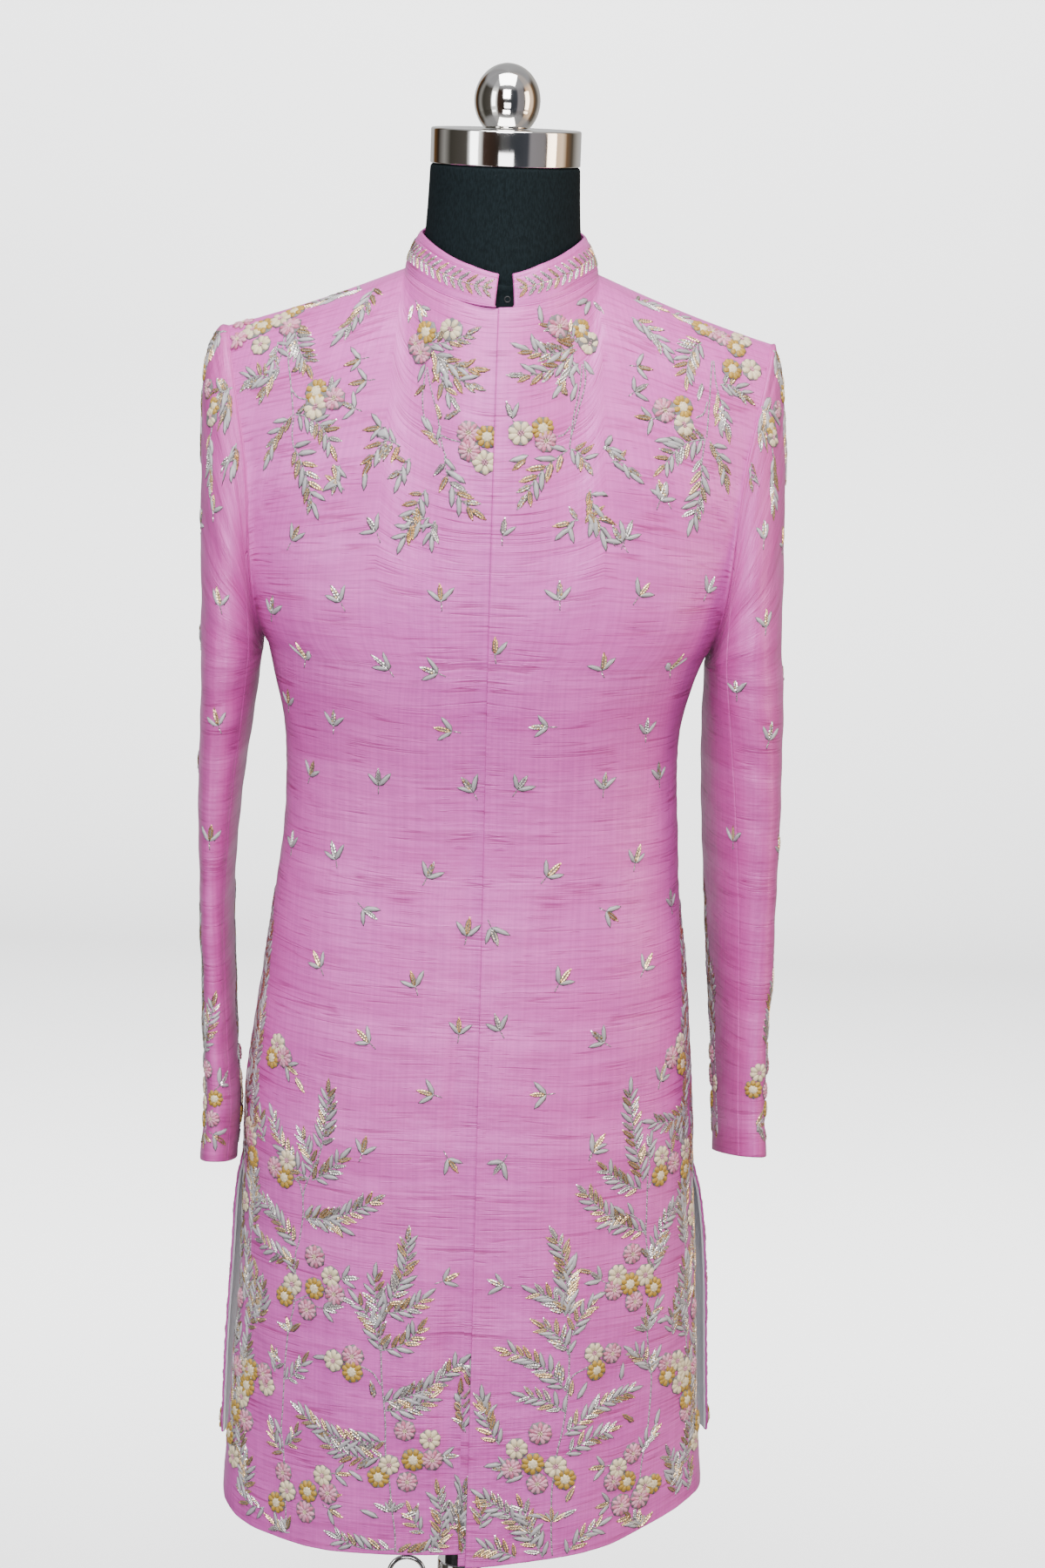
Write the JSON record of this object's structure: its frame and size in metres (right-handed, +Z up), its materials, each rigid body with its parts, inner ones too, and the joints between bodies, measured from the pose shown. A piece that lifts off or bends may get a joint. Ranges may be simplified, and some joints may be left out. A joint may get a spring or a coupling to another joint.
{
  "type": "sherwani coat on a dress form",
  "caption": "Knee-length raw-silk sherwani coat with stand collar, silver leaf embroidery and side slits, shown on a limbless dress form and stand.",
  "frame": {"origin": "on the floor under the middle of the whole part, on the stand's pole axis", "axes": "+Z up, -Y out of the coat's front, +X to the wearer's left"},
  "size_m": [0.4843, 0.36, 1.6316],
  "materials": {
    "pink_silk": "slubbed raw silk with a satin sheen",
    "pale_lining": "smooth satin lining",
    "black_jersey": "matt jersey cover",
    "black_paint": "satin black",
    "polished_chrome": "mirror polished"
  },
  "bodies": {
    "root": {"front_left": "pink_silk", "front_right": "pink_silk", "back_left": "pink_silk", "back_right": "pink_silk", "back_skirt_lining": "pale_lining", "collar": "pink_silk", "upper_sleeve_left": "pink_silk", "under_sleeve_left": "pink_silk", "upper_sleeve_right": "pink_silk", "under_sleeve_right": "pink_silk", "form_torso": "black_jersey", "neck_cap": "polished_chrome", "ball_finial": "polished_chrome", "pole": "black_paint", "stand_tube": "black_paint", "height_clamp": "polished_chrome", "clamp_screw": "polished_chrome", "base_disc": "black_paint"}
  },
  "joints": []
}
